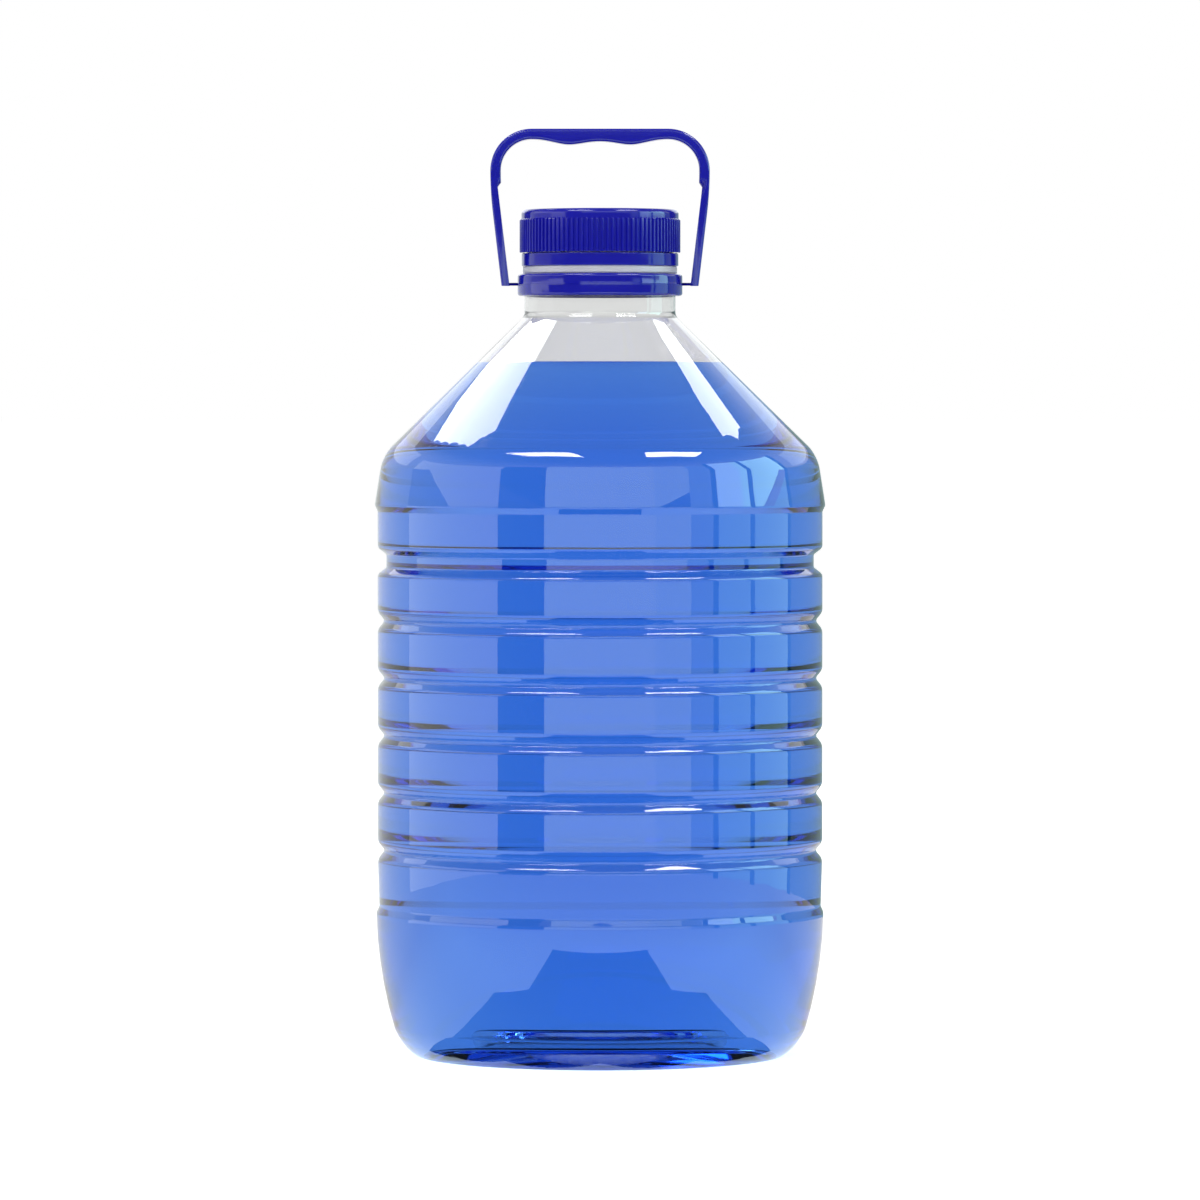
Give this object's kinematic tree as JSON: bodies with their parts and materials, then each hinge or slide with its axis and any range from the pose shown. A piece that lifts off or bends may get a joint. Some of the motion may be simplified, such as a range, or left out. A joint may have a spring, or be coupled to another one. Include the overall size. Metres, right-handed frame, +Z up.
{
  "type": "floor cleaner bottle",
  "caption": "Large clear round bottle of blue cleaner with grooved sides, a conical shoulder, a ribbed blue screw cap and a swinging blue carry handle.",
  "frame": {"origin": "middle of the foot ring, on the surface the bottle stands on", "axes": "+Z up the neck, +X along the hinge line of the carry handle, the picture looks along +Y"},
  "size_m": [0.1553, 0.1552, 0.3193],
  "materials": {
    "clear_plastic": "clear, glossy",
    "cleaner": "clear blue liquid",
    "blue_plastic": "glossy",
    "liner_foam": "matt"
  },
  "bodies": {
    "vessel": {"bottle": "clear_plastic", "cleaning_liquid": "cleaner", "tamper_band": "blue_plastic"},
    "ring": {"neck_ring": "blue_plastic"},
    "handle": {"carry_handle": "blue_plastic"},
    "liner": {"cap_liner": "liner_foam"},
    "closure": {"cap": "blue_plastic"}
  },
  "joints": [
    {"name": "ring_spin", "type": "hinge", "parent": "vessel", "child": "ring", "pos_m": [0, 0, 0.26588], "axis": [0, 0, 1], "continuous": true},
    {"name": "handle_swing", "type": "hinge", "parent": "ring", "child": "handle", "pos_m": [0, 0, 0.26588], "axis": [1, 0, 0], "range_deg": [-116, 116]},
    {"name": "cap_lift", "type": "slide", "parent": "vessel", "child": "liner", "axis": [0, 0, 1], "range_m": [0, 0.02001]},
    {"name": "cap_turn", "type": "hinge", "parent": "liner", "child": "closure", "pos_m": [0, 0, 0.28], "axis": [0, 0, 1], "range_deg": [0, 600]}
  ],
  "couplings": [
    {"joint": "cap_lift", "follows": "cap_turn", "m_per_rad": 0.0019099}
  ]
}
